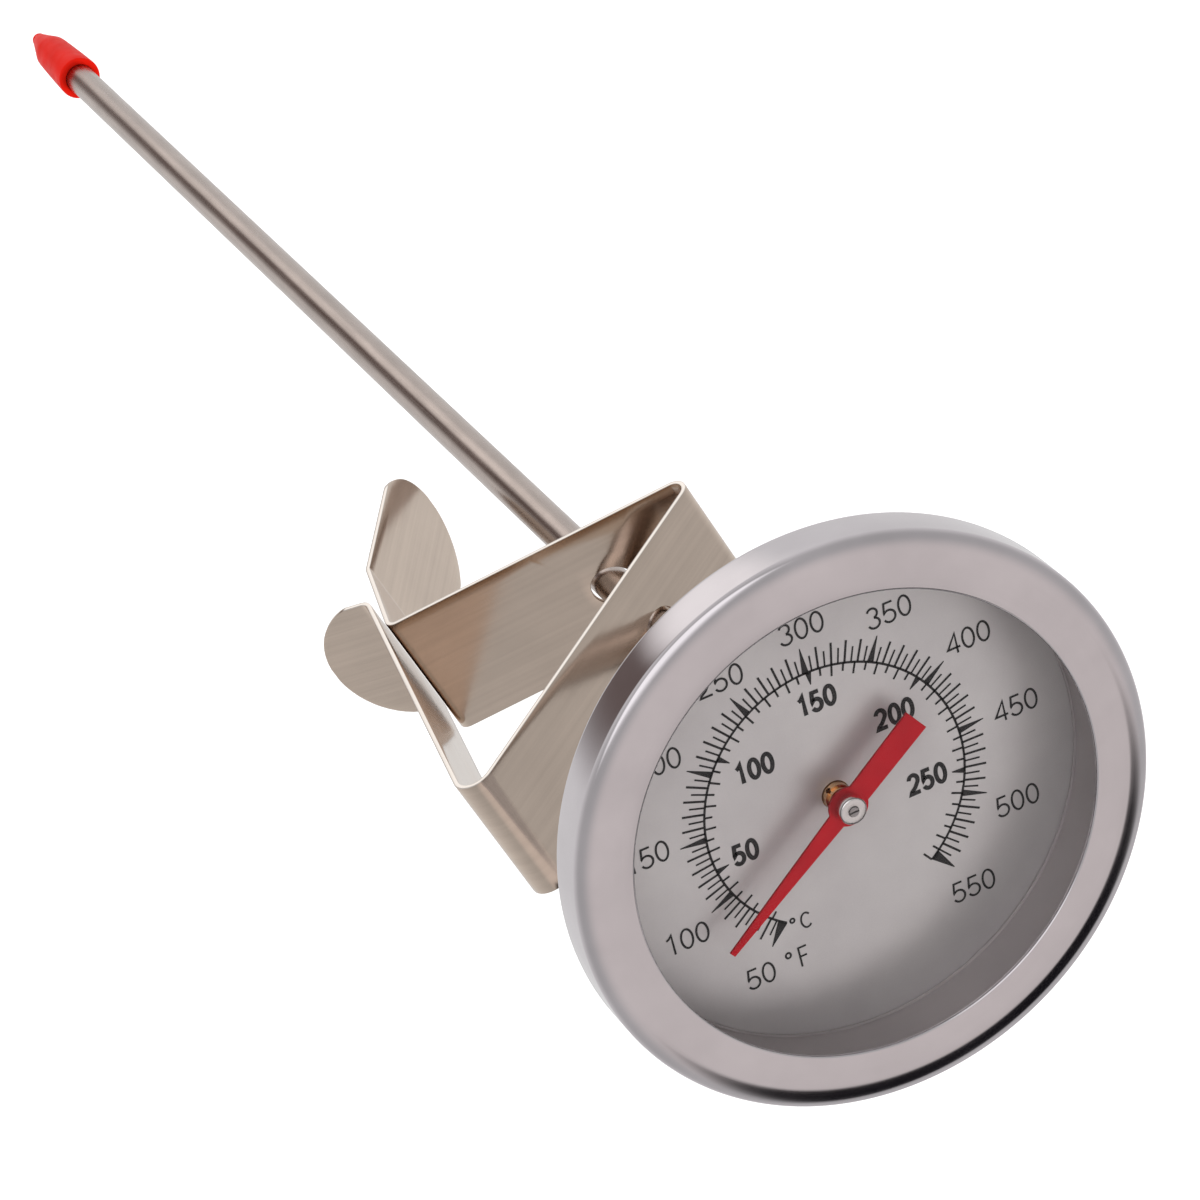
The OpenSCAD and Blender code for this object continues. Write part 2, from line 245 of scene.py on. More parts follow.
def window_glass(name):
    n = Nodes(name)
    clear = n.add("ShaderNodeBsdfTransparent")
    clear.inputs[0].default_value = (0.985, 0.978, 0.98, 1.0)
    gloss = n.add("ShaderNodeBsdfGlossy")
    gloss.inputs["Color"].default_value = (0.9, 0.9, 0.9, 1.0)
    smear = n.noise(n.coords(), 60.0, 3.0, 0.5)
    n.feed(gloss.inputs["Roughness"], n.spread(smear, 0.3, 0.7, 0.02, 0.06))
    fresnel = n.add("ShaderNodeFresnel")
    fresnel.inputs["IOR"].default_value = 1.16
    mix = n.add("ShaderNodeMixShader")
    n.feed(mix.inputs[0], fresnel.outputs[0])
    n.feed(mix.inputs[1], clear.outputs[0])
    n.feed(mix.inputs[2], gloss.outputs[0])
    return n.done(mix.outputs[0])


STEEL = (0.62, 0.60, 0.615)
M = {
    "bezel": turned_metal("bezel_polished_steel", (0.65, 0.612, 0.632), 0.13, 0.04),
    "case": turned_metal("case_satin_steel", tint(STEEL, 0.95), 0.30),
    "stem": drawn_metal("stem_drawn_steel", (0.53, 0.45, 0.41), 0.24),
    "clip": strip_metal("clip_spring_strip", (0.69, 0.575, 0.485), 0.15, STRIP_W / 2),
    "dial": dial_metal("dial_satin_silver"),
    "print": painted("dial_black_ink", (0.012, 0.012, 0.013), 0.55),
    "wall": turned_metal("retainer_grey_metal", (0.46, 0.43, 0.43), 0.40, metallic=0.55),
    "glass": window_glass("window_clear_glass"),
    "rubber": painted("gasket_black_rubber", (0.02, 0.02, 0.02), 0.75, 900.0, 0.2),
    "red": painted("pointer_red_paint", (0.42, 0.010, 0.018), 0.45, 1800.0, 0.10, Specular_IOR_Level=0.2),
    "hub": turned_metal("hub_bright_metal", (0.80, 0.79, 0.78), 0.22, 0.06, 12.0),
    "steel_dark": turned_metal("spindle_wire", (0.42, 0.41, 0.41), 0.3, 0.06, 8.0),
    "brass": turned_metal("bush_brass", (0.74, 0.46, 0.25), 0.24, 0.08, 10.0),
    "white_plastic": painted("bush_white_plastic", (0.80, 0.79, 0.74), 0.45, 900.0, 0.05),
    "bimetal": turned_metal("helix_rolled_strip", (0.50, 0.42, 0.30), 0.36, 0.08, 8.0),
    "vinyl": painted("cap_red_vinyl", (0.84, 0.012, 0.004), 0.42, 700.0, 0.12, Specular_IOR_Level=0.06,
                     Subsurface_Weight=0.08, Subsurface_Scale=0.001),
}


# ------------------------------------------------------------------ mesh tools
def finish_piece(name, me, material, body, replaced=(), sharp=35):
    obj = bpy.data.objects.new(name, me)
    bpy.context.scene.collection.objects.link(obj)
    me.materials.append(material)
    me.shade_smooth()
    me.set_sharp_from_angle(angle=math.radians(sharp))
    if replaced:
        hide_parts(*replaced)
    if body:
        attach(obj, body)
    return obj


def lathe(profile, seg=192, closed=True):
    """A mesh turned about Z from (r, z) points in millimetres. A point at r = 0 becomes one vertex."""
    me = bpy.data.meshes.new("lathe")
    verts, rows = [], []
    for r, z in profile:
        if r < 1e-9:
            rows.append([len(verts)] * seg)
            verts.append((0.0, 0.0, z * MM))
        else:
            start = len(verts)
            rows.append([start + i for i in range(seg)])
            for i in range(seg):
                a = 2 * math.pi * i / seg
                verts.append((r * MM * math.cos(a), r * MM * math.sin(a), z * MM))
    faces = []
    count = len(rows)
    for k in range(count if closed else count - 1):
        a, b = rows[k], rows[(k + 1) % count]
        if a[0] == a[1] and b[0] == b[1]:
            continue
        for i in range(seg):
            j = (i + 1) % seg
            face = []
            for v in (a[i], a[j], b[j], b[i]):
                if v not in face:
                    face.append(v)
            faces.append(face)
    me.from_pydata(verts, [], faces)
    bm = bmesh.new()
    bm.from_mesh(me)
    bmesh.ops.recalc_face_normals(bm, faces=bm.faces)
    bm.to_mesh(me)
    bm.free()
    return me


def arc(cx, cz, r, a0, a1, steps=8):
    """Points of an arc in the (r, z) plane, angles in degrees."""
    out = []
    for i in range(steps + 1):
        a = math.radians(a0 + (a1 - a0) * i / steps)
        out.append((cx + r * math.cos(a), cz + r * math.sin(a)))
    return out


def rounded(points, radius, steps=4):
    """A closed (r, z) outline with each corner rounded by its radius (one number or one for each corner)."""
    out = []
    count = len(points)
    for i, p in enumerate(points):
        rad = radius[i] if isinstance(radius, (list, tuple)) else radius
        a, b, c = Vector(points[i - 1]), Vector(p), Vector(points[(i + 1) % count])
        if rad <= 0:
            out.append((b.x, b.y))
            continue
        u, v = (a - b).normalized(), (c - b).normalized()
        half = u.angle(v) / 2
        t = rad / math.tan(half)
        centre = b + (u + v).normalized() * (rad / math.sin(half))
        s, e = b + u * t - centre, b + v * t - centre
        a0 = math.atan2(s.y, s.x)
        d = math.atan2(e.y, e.x) - a0
        d = (d + math.pi) % (2 * math.pi) - math.pi
        for k in range(steps + 1):
            ang = a0 + d * k / steps
            out.append((centre.x + rad * math.cos(ang), centre.y + rad * math.sin(ang)))
    return out


# ------------------------------------------------------------------ head
def make_bezel():
    """Pressed sheet ring: flat face, crown, small corner, side wall and hem, outside first and then inside."""
    back, t, bend = BEZEL_BACK_Z, SHEET, 90 - CROWN_SLOPE
    crown = (CROWN_START_R, FRONT_Z - CROWN_R)
    reach, side = CROWN_R - CORNER_R, math.radians(bend)
    corner = (crown[0] + reach * math.cos(side), crown[1] + reach * math.sin(side))
    hem, hem_end_r, lip_r = (BEZEL_R - HEM_R, back + HEM_R), 27.4, 0.22
    outline = arc(APERTURE_R + lip_r, FRONT_Z - lip_r, lip_r, 180, 90, 6)
    outline += arc(*crown, CROWN_R, 90, bend, 14)
    outline += arc(*corner, CORNER_R, bend, 0, 10)[1:]
    outline += arc(*hem, HEM_R, 0, -90, 8)
    outline += arc(hem_end_r, back + 0.1, 0.1, 270, 180, 3) + arc(hem_end_r, back + t - 0.1, 0.1, 180, 90, 3)
    outline += arc(*hem, HEM_R - t, -90, 0, 5)
    outline += arc(*corner, CORNER_R - t, 0, bend, 5)
    outline += arc(*crown, CROWN_R - t, bend, 90, 10)[1:]
    outline += arc(APERTURE_R + 0.08, FRONT_Z - t + 0.08, 0.08, 270, 180, 3)
    finish_piece("bezel", lathe(outline, 288), M["bezel"], THERMO, ["bezel_ring"])


def make_window():
    r = BEZEL_R - SHEET - 0.1
    outline = [(0, LENS_BOTTOM), (r, LENS_BOTTOM), (r, LENS_TOP - 1)]
    outline += [(CROWN_START_R, LENS_TOP), (0, LENS_TOP)]
    me = lathe(rounded(outline, [0, 0.2, 0.15, 0.3, 0], 4), 192, closed=False)
    finish_piece("window", me, M["glass"], THERMO, ["glass_lens"])


def make_case():
    """Stepped sheet cup: floor, step, wall and flange."""
    floor_r, wall_r, flange_r = 22.4, 26.9, 29.55
    step_z, flange_z, t = 3.9, BEZEL_BACK_Z + SHEET, SHEET
    outside = [(STEM_R, 0), (floor_r, 0), (floor_r, step_z), (wall_r, step_z), (wall_r, flange_z)]
    rim = [(flange_r, flange_z), (flange_r, flange_z + t)]
    inside = [(wall_r - t, flange_z + t), (wall_r - t, step_z + t), (floor_r - t, step_z + t)]
    outline = outside + rim + inside + [(floor_r - t, t), (STEM_R, t)]
    radii = [0, 1.5, 0.25, 0.5, 0.2, 0.2, 0.1, 0.4, 0.1, 0.4, 1.0, 0]
    me = lathe(rounded(outline, radii, 6), 256)
    finish_piece("case_back", me, M["case"], THERMO, ["case_cup"])


def make_retainer():
    """Plain ring from the dial to the window, with a small bead at its foot."""
    r, top = DIAL_R, LENS_BOTTOM
    outline = [(r - 0.16, DIAL_Z + 0.02)] + arc(r - 0.16, DIAL_Z + 0.13, 0.11, 250, 90, 6)
    outline += arc(r - 0.1, DIAL_Z + 0.34, 0.1, -90, 0, 4) + arc(r + 0.06, top - 0.06, 0.06, 180, 90, 3)
    outline += [(r + 0.35, top), (r + 0.35, DIAL_Z + 0.02)]
    finish_piece("inner_wall", lathe(outline, 256), M["wall"], THERMO, ["dial_retainer"])


# ------------------------------------------------------------------ dial print
class Print:
    """Flat ink shapes at height z, in millimetres, gathered in one mesh."""

    def __init__(self, z):
        self.verts, self.faces, self.z = [], [], z

    def ribbon(self, pts, width, closed=False):
        """A line of even width along the points."""
        pts = [Vector(p) for p in pts]
        n = len(pts)
        left, right = [], []
        for i, p in enumerate(pts):
            before = pts[i - 1] if (closed or i > 0) else None
            after = pts[(i + 1) % n] if (closed or i < n - 1) else None
            d0 = (p - before).normalized() if before is not None else (after - p).normalized()
            d1 = (after - p).normalized() if after is not None else d0
            m = d0 + d1
            m = m.normalized() if m.length > 1e-6 else d0
            side = Vector((-m.y, m.x))
            k = width / 2 / max(0.45, side.dot(Vector((-d0.y, d0.x))))
            left.append(p + side * k)
            right.append(p - side * k)
        base = len(self.verts)
        self.verts += left + right
        for i in range(n if closed else n - 1):
            j = (i + 1) % n
            self.faces.append((base + i, base + n + i, base + n + j, base + j))

    def polygon(self, pts):
        base = len(self.verts)
        self.verts += [Vector(p) for p in pts]
        self.faces.append(tuple(base + i for i in range(len(pts))))

    def mesh(self):
        bm = bmesh.new()
        vs = [bm.verts.new((v.x * MM, v.y * MM, self.z * MM)) for v in self.verts]
        for f in self.faces:
            face = bm.faces.new([vs[i] for i in f])
            face.normal_update()
            if face.normal.z < 0:
                face.normal_flip()
        me = bpy.data.meshes.new("print")
        bm.to_mesh(me)
        bm.free()
        return me


def ellipse(cx, cy, rx, ry, a0, a1, steps):
    return [
        (cx + rx * math.cos(math.radians(a0 + (a1 - a0) * i / steps)),
         cy + ry * math.sin(math.radians(a0 + (a1 - a0) * i / steps)))
        for i in range(steps + 1)
    ]


# Strokes of plain sans figures in a box one high and GLYPH_W wide
GLYPH_W = 0.60
GLYPHS = {
    "0": [("loop", ellipse(0.30, 0.50, 0.235, 0.46, 0, 345, 23))],
    "1": [("line", [(0.13, 0.76), (0.25, 0.82), (0.36, 0.96), (0.36, 0.0)])],
    "2": [("line", ellipse(0.29, 0.70, 0.23, 0.26, 170, -35, 12)
           + [(0.30, 0.30), (0.10, 0.14), (0.055, 0.04), (0.54, 0.04)])],
    "3": [("line", ellipse(0.28, 0.735, 0.205, 0.225, 160, -80, 12)),
          ("line", ellipse(0.28, 0.27, 0.235, 0.24, 82, -165, 14))],
    "4": [("line", [(0.43, 0.0), (0.43, 0.94), (0.045, 0.27), (0.57, 0.27)])],
    "5": [("line", [(0.50, 0.94), (0.15, 0.94), (0.095, 0.50)]
           + ellipse(0.285, 0.305, 0.245, 0.28, 140, -155, 16))],
    "C": [("line", ellipse(0.36, 0.50, 0.31, 0.46, 42, 318, 20))],
    "F": [("line", [(0.52, 0.95), (0.10, 0.95), (0.10, 0.0)]), ("line", [(0.10, 0.51), (0.46, 0.51)])],
    "o": [("loop", ellipse(0.20, 0.80, 0.13, 0.13, 0, 330, 11))],
}


def write(ink, text, cx, cy, height, stroke, narrow, gap=0.04):
    """Figures with their middle at (cx, cy); `narrow` scales their width."""
    step = (GLYPH_W + gap) * height * narrow
    total = step * (len(text) - 1) + GLYPH_W * height * narrow
    x = cx - total / 2
    for ch in text:
        for kind, pts in GLYPHS[ch]:
            placed = [(x + px * height * narrow, cy - height / 2 + py * height) for px, py in pts]
            ink.ribbon(placed, stroke, kind == "loop")
        x += step


def on_dial(deg_f, r, off=0.0):
    """Point at radius r and off millimetres clockwise of a temperature's direction."""
    a = math.radians((deg_f - MID_F) * DEG_PER_F)
    return (r * math.sin(a) + off * math.cos(a), r * math.cos(a) - off * math.sin(a))


def make_print():
    """Both scales on one arc, with the ticks in degrees F outside it and those in degrees C inside it."""
    ink = Print(DIAL_Z + 0.02)
    arc_r, first_f, last_f = 13.9, 46.5, 554.0
    wedge_f_r, wedge_c_r, ten_c_r, five_c_r = 16.65, 12.5, 12.7, 13.05
    ink.ribbon([on_dial(first_f + (last_f - first_f) * i / 150, arc_r) for i in range(151)], 0.25)
    for f in range(50, 551, 5):
        if f % 50 == 0:
            half = 0.36 if 50 < f < 550 else 0.55
            ink.polygon([on_dial(f, arc_r, -half), on_dial(f, arc_r, half),
                         on_dial(f, wedge_f_r, 0.05), on_dial(f, wedge_f_r, -0.05)])
        else:
            end_r, width = (16.25, 0.24) if f % 10 == 0 else (15.55, 0.19)
            ink.ribbon([on_dial(f, arc_r), on_dial(f, end_r)], width)
    for c in range(15, 291, 5):
        f = c * 1.8 + 32
        if c % 50 == 0:
            ink.polygon([on_dial(f, arc_r, 0.34), on_dial(f, arc_r, -0.34),
                         on_dial(f, wedge_c_r, -0.05), on_dial(f, wedge_c_r, 0.05)])
        else:
            ink.ribbon([on_dial(f, arc_r), on_dial(f, ten_c_r if c % 10 == 0 else five_c_r)], 0.22)
    # outer figures in degrees F, with the 150 and 200 a little nearer the edge, and bolder inner ones in degrees C
    outer_h, inner_h = 2.32, 2.2
    for f in range(50, 551, 50):
        a = math.radians((f - MID_F) * DEG_PER_F + 1.0)
        r = 18.95 + 1.2 * math.sin(a) ** 2 - 0.28 * max(0.0, math.cos(a)) ** 2
        drop = 0.55 if math.cos(a) < 0 else 0.0
        left = {150: 0.15, 200: 0.45}.get(f, 0.0)
        x = r * math.sin(a) + 0.1 + 0.25 * max(0.0, math.cos(a)) - left
        write(ink, str(f), x, r * math.cos(a) - drop, outer_h, 0.24, 1.12)
    for c in range(50, 251, 50):
        text = str(c)
        a = math.radians((c * 1.8 + 32 - MID_F) * DEG_PER_F + 1.0)
        half_w = len(text) * 0.56 * inner_h / 2
        r = 11.95 - abs(math.cos(a)) * 1.25 - abs(math.sin(a)) * half_w
        write(ink, text, r * math.sin(a), r * math.cos(a), inner_h, 0.46, 0.94, 0.10)
    write(ink, "oC", -6.75, -11.9, 1.8, 0.21, 0.98)
    write(ink, "oF", -7.9, -15.6, 2.3, 0.22, 0.92)
    finish_piece("dial_scale", ink.mesh(), M["print"], THERMO)


# ------------------------------------------------------------------ pointer
def make_pointer():
    """Sheet pointer: tapered blade, round disc and broad straight tail, drawn along X and turned to REST_F."""
    tip_r, tail_r, disc_r = 18.3, 10.65, 2.1
    tip_half, tail_half = 0.325, 1.425
    # angles where the blade and the tail leave the disc
    a_blade, a_tail = 27.8, 142.6
    pts = [(tip_r, -tip_half), (tip_r, tip_half)]
    pts += ellipse(0, 0, disc_r, disc_r, a_blade, a_tail, 12)
    pts += [(-tail_r, tail_half), (-tail_r, -tail_half)]
    pts += ellipse(0, 0, disc_r, disc_r, -a_tail, -a_blade, 12)
    turn = math.radians(90 - (REST_F - MID_F) * DEG_PER_F)
    rot = Matrix.Rotation(turn, 2)
    bm = bmesh.new()
    ring = []
    for p in pts:
        q = rot @ Vector(p)
        ring.append(bm.verts.new((q.x * MM, q.y * MM, POINTER_Z * MM)))
    face = bm.faces.new(ring)
    made = bmesh.ops.extrude_face_region(bm, geom=[face])
    bmesh.ops.translate(bm, verts=[g for g in made["geom"] if isinstance(g, bmesh.types.BMVert)],
                        vec=(0, 0, POINTER_T * MM))
    bmesh.ops.recalc_face_normals(bm, faces=bm.faces)
    bm.edges.ensure_lookup_table()
    rim = [e for e in bm.edges if abs(e.verts[0].co.z - e.verts[1].co.z) < 1e-7]
    bmesh.ops.bevel(bm, geom=rim, offset=0.05 * MM, segments=2, profile=0.7, affect="EDGES")
    me = bpy.data.meshes.new("pointer")
    bm.to_mesh(me)
    bm.free()
    finish_piece("red_pointer", me, M["red"], POINTER, ["pointer"])


def make_pointer_cap():
    base, bore, r, height = POINTER_Z + POINTER_T, 0.5, 1.45, 1.2
    outline = [(bore, base), (r, base), (r, base + height), (bore, base + height)]
    me = lathe(rounded(outline, [0, 0.05, 0.28, 0.12], 6), 96)
    finish_piece("pointer_button", me, M["hub"], POINTER, ["pointer_cap"])


# ------------------------------------------------------------------ stem and cap
def make_stem():
    me = lathe([(STEM_R, 3.4), (STEM_R, -60), (STEM_R, -130), (STEM_R, -200), (STEM_R, TUBE_END_Z)]
               + arc(0, TUBE_END_Z, STEM_R, 0, -90, 10)[1:-1] + [(0, TUBE_END_Z - STEM_R)], 96, closed=False)
    finish_piece("stem", me, M["stem"], THERMO, ["stem_tube", "stem_plug"])


def make_collar():
    collar_r, collar_l = 3.4, 3
    outline = [(STEM_R, 0), (collar_r, 0), (collar_r, -collar_l), (STEM_R, -collar_l)]
    me = lathe(rounded(outline, [0, 0, 0.8, 0.1], 6), 96)
    finish_piece("collar", me, M["case"], THERMO, ["stem_collar"])


def make_cap():
    """Soft cover: a slightly tapered sleeve with a rounded mouth, then a cone with a blunt tip."""
    tip, mouth, bore, mouth_r, lip_r = CAP_TIP_Z, CAP_TIP_Z + CAP_L, STEM_R + 0.03, 2.95, 0.42
    outside = [(bore, mouth - 0.12), (bore + 0.12, mouth)]
    outside += arc(mouth_r - lip_r, mouth - lip_r, lip_r, 90, 0, 6)
    outside += [(2.93, mouth - 1.8), (2.80, mouth - 5.5), (2.64, mouth - 9.5), (2.50, tip + 8.4)]
    outside += [(2.43, tip + 7.6), (2.24, tip + 6.7), (1.98, tip + 5.6), (1.50, tip + 3.4), (1.08, tip + 1.5)]
    outside += arc(0, tip + 1.0, 1.0, 22, -90, 8)[:-1] + [(0, tip)]
    inside = [(0, TUBE_END_Z - bore)] + arc(0, TUBE_END_Z, bore, -90, 0, 8)[1:]
    me = lathe(outside + inside, 96, closed=True)
    finish_piece("tip_cover", me, M["vinyl"], CAP, ["tip_cap"], sharp=50)


# ------------------------------------------------------------------ clip
# The strip's profile is drawn in the (s, z) plane, with s along S_AXIS; its width lies along W_AXIS
CLIP_TURN = math.radians(17.9)
S_AXIS = Vector((math.cos(CLIP_TURN), math.sin(CLIP_TURN), 0))
W_AXIS = Vector((math.sin(CLIP_TURN), -math.cos(CLIP_TURN), 0))
INNER_CORNER, PINCH, FOLD = Vector((-18.9, -73.3)), Vector((-21.5, -60.7)), Vector((13.6, -46.3))
BEND, OUTER_CORNER = Vector((-28.0, -22.9)), Vector((-21.45, -67.6))


def polar(deg, r):
    return Vector((math.cos(math.radians(deg)), math.sin(math.radians(deg)))) * r


def turned(v, ang):
    return Vector((v.x * math.cos(ang) - v.y * math.sin(ang), v.x * math.sin(ang) + v.y * math.cos(ang)))


def centre_line():
    """The strip's middle line as (point, direction) stations, and the number of each arc's first station."""
    corners = [INNER_CORNER + polar(-57, 20.5), INNER_CORNER, PINCH, FOLD, BEND, OUTER_CORNER,
               OUTER_CORNER + polar(-141, 9.2)]
    radii = [0, 1.6, 1.2, 1.7, 2.2, 1.6, 0]
    out, starts = [(corners[0], (corners[1] - corners[0]).normalized())], []
    for i in range(1, 6):
        a, b, c = corners[i - 1:i + 2]
        d0, d1 = (b - a).normalized(), (c - b).normalized()
        sweep = math.atan2(d0.x * d1.y - d0.y * d1.x, d0.dot(d1))
        r = radii[i]
        t = r * math.tan(abs(sweep) / 2)
        s = 1 if sweep > 0 else -1
        start = b - d0 * t
        centre = start + Vector((-d0.y, d0.x)) * (s * r)
        steps = max(6, math.ceil(abs(math.degrees(sweep)) / 6))
        starts.append(len(out))
        for k in range(steps + 1):
            ang = sweep * k / steps
            out.append((centre + turned(start - centre, ang), turned(d0, ang)))
    out.append((corners[6], (corners[6] - corners[5]).normalized()))
    return out, starts


def make_clip():
    """The folded strip in two meshes, built from stations u along its middle line and v across it."""
    line, starts = centre_line()
    dist = [0.0]
    for (p, _), (q, _) in zip(line, line[1:]):
        dist.append(dist[-1] + (q - p).length)
    total = dist[-1]

    def at(u):
        for k in range(len(line) - 1):
            if u <= dist[k + 1] or k == len(line) - 2:
                t = (u - dist[k]) / max(dist[k + 1] - dist[k], 1e-9)
                p = line[k][0].lerp(line[k + 1][0], t)
                d = line[k][1].lerp(line[k + 1][1], t).normalized()
                return p, d

    def place(u, v, side):
        p, d = at(u)
        q = p + Vector((-d.y, d.x)) * (side * STRIP_T / 2)
        return (S_AXIS * q.x + W_AXIS * v + Vector((0, 0, q.y))) * MM

    half = STRIP_W / 2
    end_r = half + 0.3

    def half_width(u):
        """Half the strip's width, which runs out in a round end."""
        near = min(u, total - u)
        if near >= end_r:
            return half
        x = end_r - near
        return min(half, math.sqrt(max(end_r * end_r - x * x, 0.0)))

    # the holes: where the stem's axis meets the two legs
    holes = []
    for k in range(len(line) - 1):
        p, q = line[k][0], line[k + 1][0]
        if (p.x < 0) != (q.x < 0) and (q - p).length > 10:
            t = -p.x / (q.x - p.x)
            slope = abs((q - p).normalized().x)
            holes.append((dist[k] + t * (q - p).length, HOLE_R / slope))
    across = 12
    stations = set()
    for i in range(15):
        a = math.radians(90 * i / 14)
        u = end_r * (1 - math.sin(a))
        stations.add(round(u, 5))
        stations.add(round(total - u, 5))
    stations.update(round(d, 5) for d in dist if end_r < d < total - end_r)
    # a plain stretch about each hole is meshed by rings round the hole
    keep_out = [(h - 6.0, h + 6.0) for h, _ in holes]
    for k in range(len(dist) - 1):
        span = dist[k + 1] - dist[k]
        if span > 3:
            for j in range(1, int(span / 2)):
                stations.add(round(dist[k] + span * j / int(span / 2), 5))
    us = sorted(u for u in stations if 0.02 < u < total - 0.02 and not any(a < u < b for a, b in keep_out))
    for a, b in keep_out:
        us += [a, b]
    us = sorted(set(us))

    def build(rows, cut):
        """The strip between the first and last of the rows; its edge at the station `cut` stays sharp."""
        bm = bmesh.new()
        uv_layer = bm.loops.layers.uv.new("strip")
        flat = {}

        def vert(u, v, side):
            key = (round(u, 5), round(v, 5), side)
            if key not in flat:
                flat[key] = (bm.verts.new(place(u, v, side)), (u, v))
            return flat[key]

        def quad(points):
            vs = []
            for item in points:
                if all(item[0] is not o[0] for o in vs):
                    vs.append(item)
            if len(vs) < 3:
                return
            face = bm.faces.new([v[0] for v in vs])
            for loop, item in zip(face.loops, vs):
                loop[uv_layer].uv = item[1]

        border = []
        for ua, ub in zip(rows, rows[1:]):
            hole = next(((h, rx) for (h, rx), (a, b) in zip(holes, keep_out)
                         if abs(ua - a) < 1e-6 and abs(ub - b) < 1e-6), None)
            wa, wb = half_width(ua), half_width(ub)
            if hole is None:
                for j in range(across):
                    va0, va1 = wa * (2 * j / across - 1), wa * (2 * (j + 1) / across - 1)
                    vb0, vb1 = wb * (2 * j / across - 1), wb * (2 * (j + 1) / across - 1)
                    for side in (1, -1):
                        quad([vert(ua, va0, side), vert(ub, vb0, side),
                              vert(ub, vb1, side), vert(ua, va1, side)])
                border.append(((ua, -wa), (ub, -wb)))
                border.append(((ub, wb), (ua, wa)))
                continue
            h, rx = hole
            rim = [(ua, half * (2 * j / across - 1)) for j in range(across + 1)]
            rim += [(ua + (ub - ua) * k / 12, half) for k in range(1, 12)]
            rim += [(ub, half * (1 - 2 * j / across)) for j in range(across + 1)]
            rim += [(ub + (ua - ub) * k / 12, -half) for k in range(1, 12)]
            inner = []
            for u, v in rim:
                ang = math.atan2(v / HOLE_R, (u - h) / rx)
                inner.append((h + rx * math.cos(ang), HOLE_R * math.sin(ang)))
            rings = [rim]
            for f in (0.35, 0.7, 1.0):
                rings.append([(p[0] + (q[0] - p[0]) * f, p[1] + (q[1] - p[1]) * f) for p, q in zip(rim, inner)])
            m = len(rim)
            for ra, rb in zip(rings, rings[1:]):
                for k in range(m):
                    j = (k + 1) % m
                    for side in (1, -1):
                        quad([vert(*ra[k], side), vert(*ra[j], side),
                              vert(*rb[j], side), vert(*rb[k], side)])
            for k in range(m):
                j = (k + 1) % m
                border.append((inner[k], inner[j]))
                if abs(abs(rim[k][1]) - half) < 1e-6 and abs(rim[j][1] - rim[k][1]) < 1e-6:
                    border.append((rim[k], rim[j]))
        for u in (rows[0], rows[-1]):
            w = half_width(u)
            for j in range(across):
                border.append(((u, w * (2 * j / across - 1)), (u, w * (2 * (j + 1) / across - 1))))
        for p, q in border:
            quad([vert(*p, 1), vert(*q, 1), vert(*q, -1), vert(*p, -1)])
        bmesh.ops.recalc_face_normals(bm, faces=bm.faces)
        at_cut = {vtx for vtx, (u, _) in flat.values() if abs(u - cut) < 1e-5}
        rims = [e for e in bm.edges if len(e.link_faces) == 2 and e.calc_face_angle(0) > math.radians(60)
                and not (e.verts[0] in at_cut and e.verts[1] in at_cut)]
        bmesh.ops.bevel(bm, geom=rims, offset=0.07 * MM, segments=2, profile=0.6, affect="EDGES")
        me = bpy.data.meshes.new("clip")
        bm.to_mesh(me)
        bm.free()
        return me

    # the strip is one piece; it is cut where the large bend begins
    cut = round(dist[starts[3]], 5)
    finish_piece("clip_arm", build([u for u in us if u <= cut], cut), M["clip"], CLIP,
                 ["clip_stem_arm"], 40)
    jaw = finish_piece("clip_jaw_strip", build([u for u in us if u >= cut], cut), M["clip"], None,
                       ["clip_jaw_arm"], 40)
    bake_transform(jaw)


make_bezel()
make_window()
make_case()
make_retainer()
make_print()
make_pointer()
make_pointer_cap()
make_stem()
make_collar()
make_cap()
make_clip()

for node, key in {
    "dial_plate": "dial", "lens_gasket": "rubber", "stem_washer": "case", "guide_bush": "brass",
    "lower_bush": "white_plastic", "bimetal_helix": "bimetal", "helix_anchor": "brass",
    "spindle": "steel_dark", "pointer_hub": "brass", "helix_coupling": "brass",
}.items():
    mesh = NODES[node].data
    mesh.materials.clear()
    mesh.materials.append(M[key])


# ------------------------------------------------------------------ floor, light, camera
def make_floor():
    """A pale floor well below the tip, so that no colour from the cap falls on it."""
    size, z = 4.0, CAP_TIP_Z * MM - 0.12
    corners = [(-size, -size, z), (size, -size, z), (size, size, z), (-size, size, z)]
    me = bpy.data.meshes.new("floor")
    me.from_pydata(corners, [], [(0, 1, 2, 3)])
    n = Nodes("floor_pale")
    diffuse = n.principled((0.93, 0.93, 0.93), 0.9)
    glow = n.add("ShaderNodeEmission")
    glow.inputs["Color"].default_value = (1, 1, 1, 1)
    glow.inputs["Strength"].default_value = 0.35
    add = n.add("ShaderNodeAddShader")
    n.feed(add.inputs[0], diffuse)
    n.feed(add.inputs[1], glow.outputs[0])
    me.materials.append(n.done(add.outputs[0]))
    obj = bpy.data.objects.new("floor", me)
    bpy.context.scene.collection.objects.link(obj)
    obj.visible_glossy = False


def make_key_light():
    """A soft disc that lights the head from the front; the metals mirror the world instead of it."""
    data = bpy.data.lights.new("key", "AREA")
    data.shape, data.size, data.energy = "DISK", 0.34, 3.4
    obj = bpy.data.objects.new("key", data)
    bpy.context.scene.collection.objects.link(obj)
    direction = Vector((0.46, -0.51, 0.73)).normalized()
    obj.location = Vector((0, 0, 0.005)) + direction * 0.75
    obj.rotation_mode = "QUATERNION"
    obj.rotation_quaternion = direction.to_track_quat("Z", "Y")
    obj.visible_glossy = False


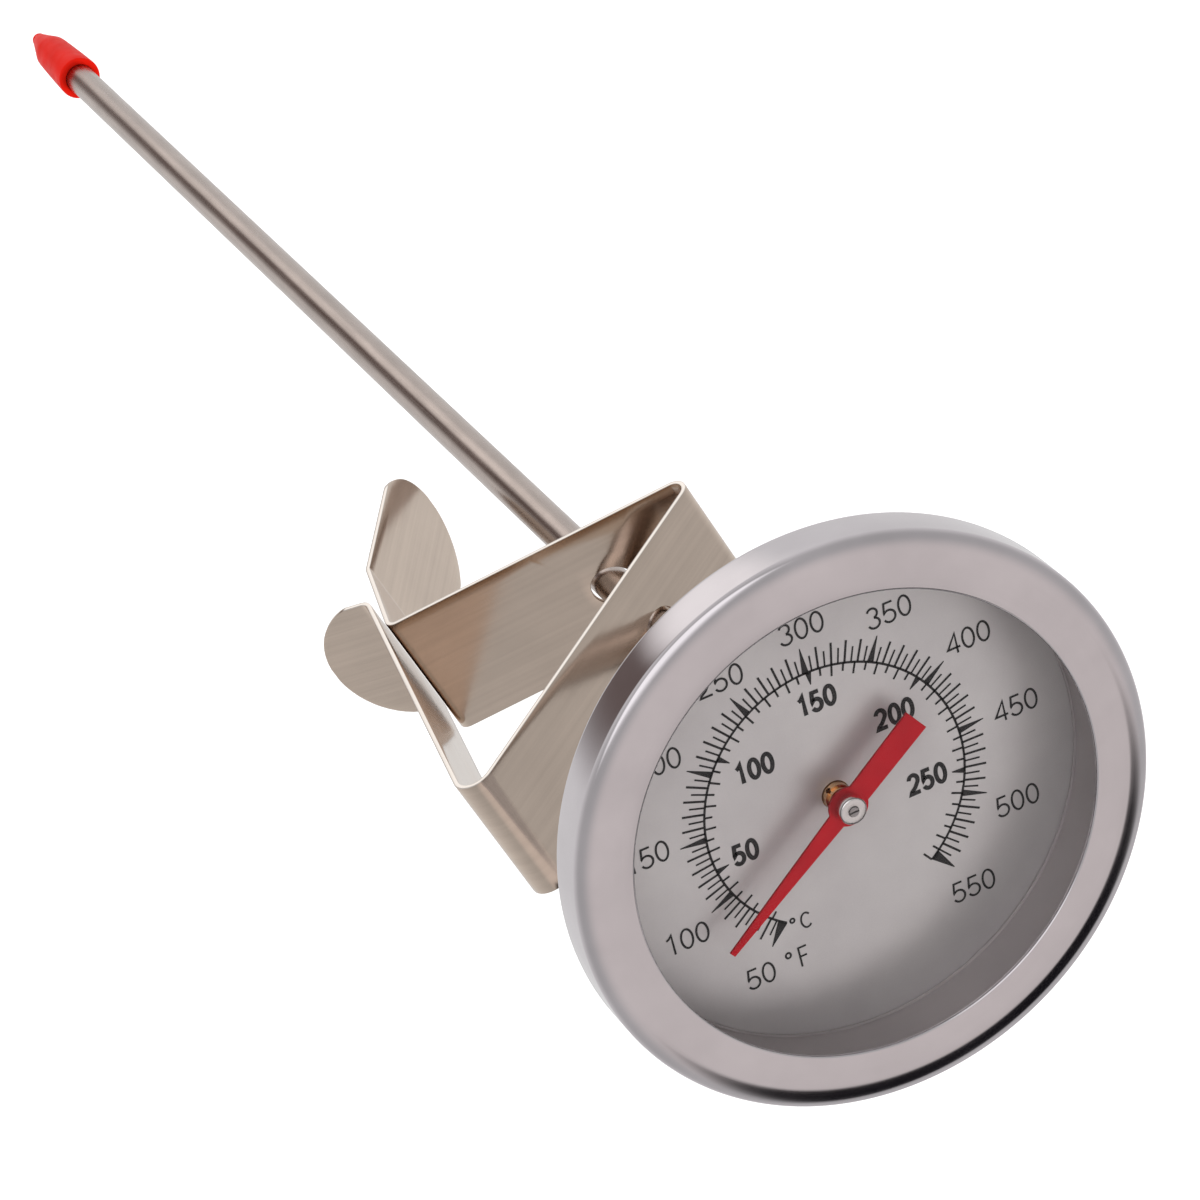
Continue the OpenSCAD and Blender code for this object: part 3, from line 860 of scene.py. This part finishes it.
def make_world():
    """Pale studio surroundings with soft patches and one dark band for the metals to mirror."""
    world = bpy.data.worlds.new("studio")
    bpy.context.scene.world = world
    n = Nodes("studio", world)
    d = n.add("ShaderNodeTexCoord").outputs["Generated"]

    def lobe(direction, outer, inner):
        """A round patch that fades between two half angles, in degrees."""
        node = n.add("ShaderNodeVectorMath", operation="DOT_PRODUCT")
        n.feed(node.inputs[0], d)
        node.inputs[1].default_value = Vector(direction).normalized()
        far, near = math.cos(math.radians(outer)), math.cos(math.radians(inner))
        return n.spread(node.outputs["Value"], far, near, 0.0, 1.0, True)

    z = n.split(d)[2]
    tone = n.spread(z, -0.9, 0.9, 1.0, 0.62, True)
    col = n.vector(tone, tone, tone)
    for direction, outer, inner, color in (
        ((0.24, -0.47, 0.85), 42, 14, (0.94, 0.885, 0.865)),
        ((-0.363, 0.403, -0.84), 29, 7, (0.20, 0.155, 0.145)),
        ((-0.084, 0.578, -0.81), 20, 6, (1.5, 1.47, 1.45)),
        ((-0.33, 0.56, 0.76), 34, 20, (1.7, 1.7, 1.72)),
    ):
        col = n.blend(lobe(direction, outer, inner), col, color)
    rise, fall = n.spread(z, 0.26, 0.34, 0.0, 1.0, True), n.spread(z, 0.715, 0.765, 1.0, 0.0, True)
    band = n.math("MULTIPLY", n.math("MULTIPLY", rise, fall), lobe((0.321, -0.794, 0.515), 27, 15))
    col = n.blend(band, col, (0.012, 0.011, 0.014))
    camera = n.add("ShaderNodeLightPath").outputs["Is Camera Ray"]
    col = n.blend(camera, col, (0.93, 0.93, 0.93))
    back = n.add("ShaderNodeBackground")
    n.feed(back.inputs["Color"], col)
    back.inputs["Strength"].default_value = 0.8
    n.done(back.outputs[0])


def make_camera():
    data = bpy.data.cameras.new("camera")
    data.lens, data.sensor_width, data.sensor_fit = 150.0, 36.0, "HORIZONTAL"
    data.clip_start, data.clip_end = 0.01, 20.0
    obj = bpy.data.objects.new("camera", data)
    bpy.context.scene.collection.objects.link(obj)
    right, up, back = (0.89608, -0.23192, 0.37849), (0.37433, 0.85306, -0.36353), (-0.23856, 0.46744, 0.85123)
    matrix = Matrix((right, up, back)).transposed().to_4x4()
    matrix.translation = Vector((-0.12926, 0.24834, 0.40253))
    obj.matrix_world = matrix
    bpy.context.scene.camera = obj


make_floor()
make_world()
make_key_light()
make_camera()
scene = bpy.context.scene
scene.view_settings.view_transform = "Standard"
scene.view_settings.look = "None"
